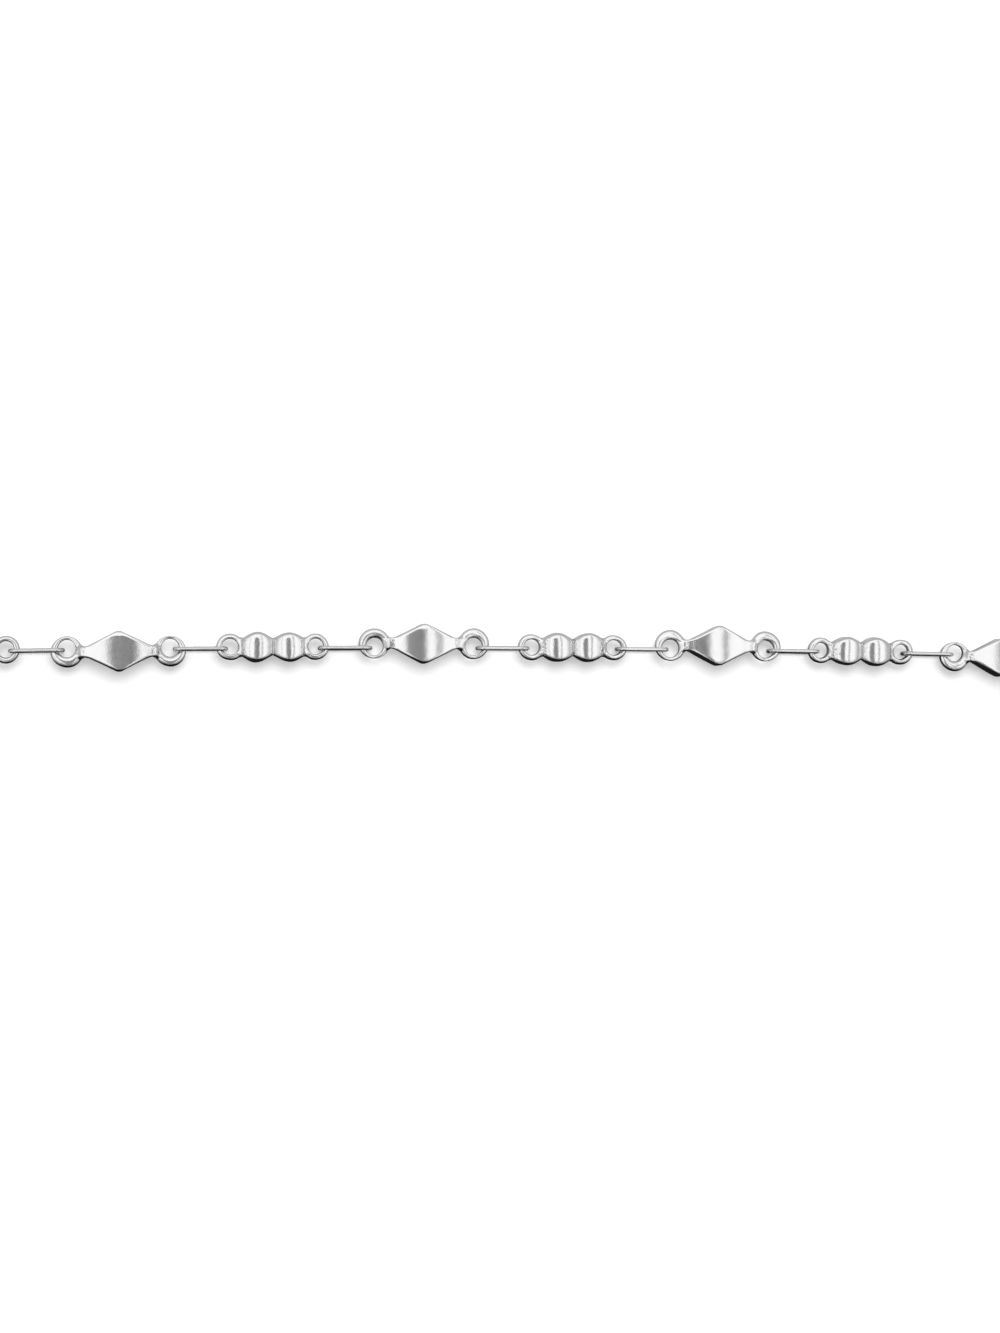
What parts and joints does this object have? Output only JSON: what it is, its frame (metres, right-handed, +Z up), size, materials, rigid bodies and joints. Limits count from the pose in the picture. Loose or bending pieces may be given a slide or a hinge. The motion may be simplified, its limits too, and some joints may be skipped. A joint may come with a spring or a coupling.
{
  "type": "chain bracelet",
  "caption": "Closed silver chain bracelet of diamond-shaped and double-barrel links joined by oval wire connectors, with a plain lobster clasp.",
  "frame": {"origin": "on the table, under the middle of the whole loop", "axes": "+X along the straight front stretch, towards its right end; +Y from the front stretch to the clasp; +Z up from the table"},
  "size_m": [0.0662, 0.0458, 0.0013],
  "materials": {
    "silver": "polished silver with a light cast grain"
  },
  "bodies": {
    "root": {"diamond_link_01": "silver", "diamond_link_02": "silver", "diamond_link_03": "silver", "diamond_link_04": "silver", "diamond_link_05": "silver", "diamond_link_06": "silver", "diamond_link_07": "silver", "diamond_link_08": "silver", "diamond_link_09": "silver", "diamond_link_10": "silver", "diamond_link_11": "silver", "diamond_link_12": "silver", "bead_link_01": "silver", "bead_link_02": "silver", "bead_link_03": "silver", "bead_link_04": "silver", "bead_link_05": "silver", "bead_link_06": "silver", "bead_link_07": "silver", "bead_link_08": "silver", "bead_link_09": "silver", "bead_link_10": "silver", "bead_link_11": "silver", "bead_link_12": "silver", "connector_01": "silver", "connector_02": "silver", "connector_03": "silver", "connector_04": "silver", "connector_05": "silver", "connector_06": "silver", "connector_07": "silver", "connector_08": "silver", "connector_09": "silver", "connector_10": "silver", "connector_11": "silver", "connector_12": "silver", "connector_13": "silver", "connector_14": "silver", "connector_15": "silver", "connector_16": "silver", "connector_17": "silver", "connector_18": "silver", "connector_19": "silver", "connector_20": "silver", "connector_21": "silver", "connector_22": "silver", "connector_23": "silver", "connector_24": "silver", "connector_25": "silver", "lobster_clasp": "silver"}
  },
  "joints": []
}
